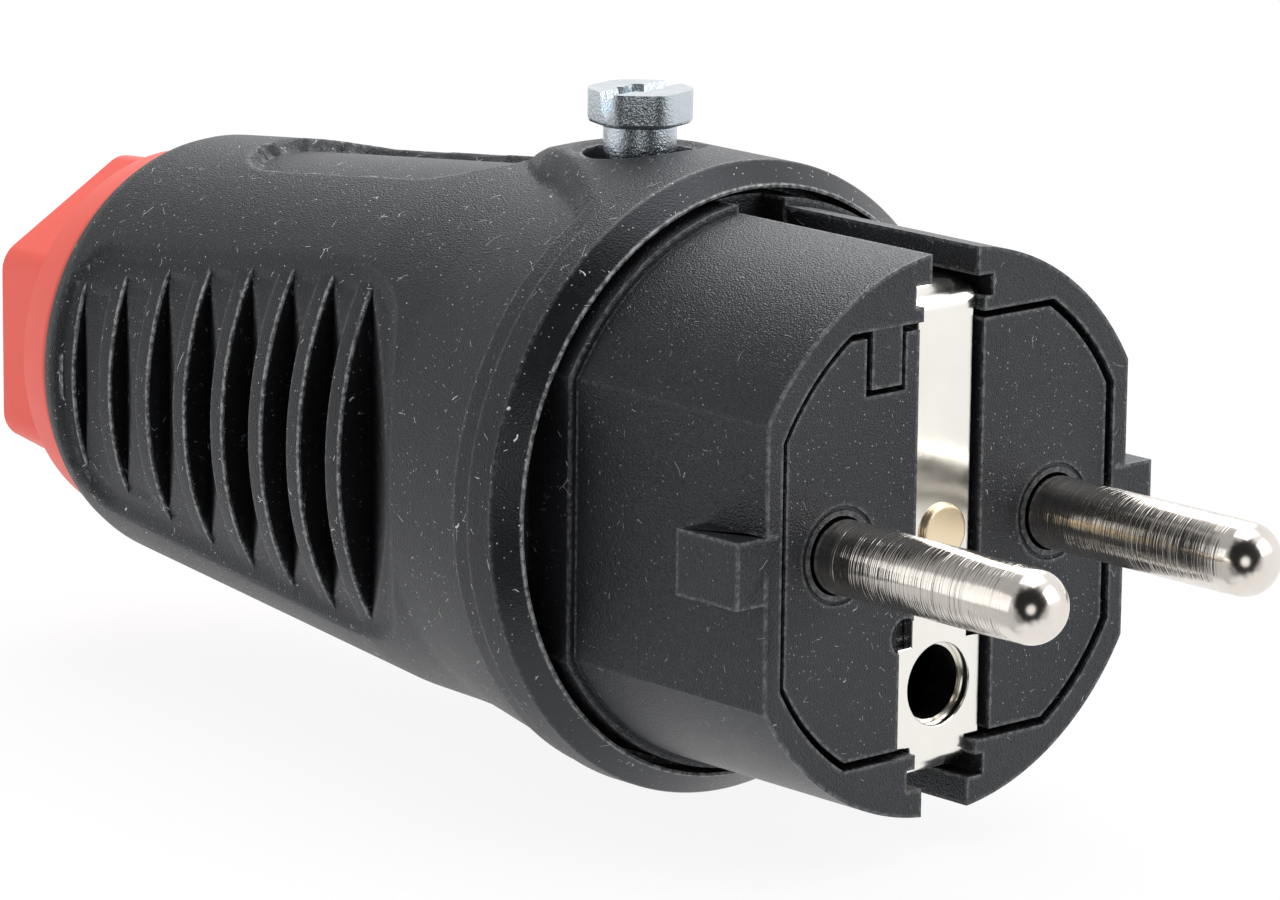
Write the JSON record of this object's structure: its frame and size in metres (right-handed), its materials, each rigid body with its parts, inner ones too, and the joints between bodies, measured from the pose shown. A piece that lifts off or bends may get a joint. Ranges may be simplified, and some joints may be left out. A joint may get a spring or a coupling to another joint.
{
  "type": "rubber electric plug",
  "caption": "Rewireable rubber mains plug with round pins, earth strip, side ribs, ribbed grips, locking screw and screwed cable gland.",
  "frame": {"origin": "middle of the contact face, halfway between the two pins", "axes": "+X the way the pins point, +Z towards the locking screw"},
  "size_m": [0.104, 0.0422, 0.0458],
  "materials": {
    "housing_rubber": "matte, fine grain",
    "seal_rubber": "matte",
    "black_plastic": "matte moulded",
    "red_plastic": "matte moulded",
    "grey_plastic": "matte moulded",
    "nickel": "nickel plated, turned",
    "brass": "bare brass",
    "zinc_steel": "zinc plated"
  },
  "bodies": {
    "plug": {"rubber_housing": "housing_rubber", "cable_seal": "seal_rubber", "pin_shroud_left": "black_plastic", "pin_shroud_right": "black_plastic", "shroud_flange": "black_plastic", "contact_carrier": "black_plastic", "cable_clamp": "black_plastic", "line_pin": "nickel", "neutral_pin": "nickel", "earth_strip": "nickel", "earth_sleeve": "nickel", "earth_rivet": "brass", "earth_bar": "brass", "earth_terminal": "brass", "lock_nut": "zinc_steel", "line_terminal_screw": "zinc_steel", "neutral_terminal_screw": "zinc_steel", "earth_terminal_screw": "zinc_steel", "clamp_screw_left": "zinc_steel", "clamp_screw_right": "zinc_steel", "clamp_nut_left": "zinc_steel", "clamp_nut_right": "zinc_steel"},
    "washer": {"captive_washer": "grey_plastic"},
    "screw": {"lock_screw": "zinc_steel"},
    "ring": {"gland_slip_ring": "grey_plastic"},
    "nut": {"gland_nut": "red_plastic"}
  },
  "joints": [
    {"name": "lock_screw_lift", "type": "slide", "parent": "plug", "child": "washer", "axis": [0, 0, 1], "range_m": [-0.0036, 0]},
    {"name": "lock_screw_turn", "type": "hinge", "parent": "washer", "child": "screw", "pos_m": [-0.0294, 0, 0], "axis": [0, 0, 1], "range_deg": [-1620, 0]},
    {"name": "gland_nut_shift", "type": "slide", "parent": "plug", "child": "ring", "axis": [-1, 0, 0], "range_m": [0, 0.006]},
    {"name": "gland_nut_turn", "type": "hinge", "parent": "ring", "child": "nut", "pos_m": [-0.08, 0, 0], "axis": [-1, 0, 0], "range_deg": [0, 1080]}
  ],
  "couplings": [
    {"joint": "lock_screw_turn", "follows": "lock_screw_lift", "rad_per_m": 7854},
    {"joint": "gland_nut_turn", "follows": "gland_nut_shift", "rad_per_m": 3141.6}
  ]
}
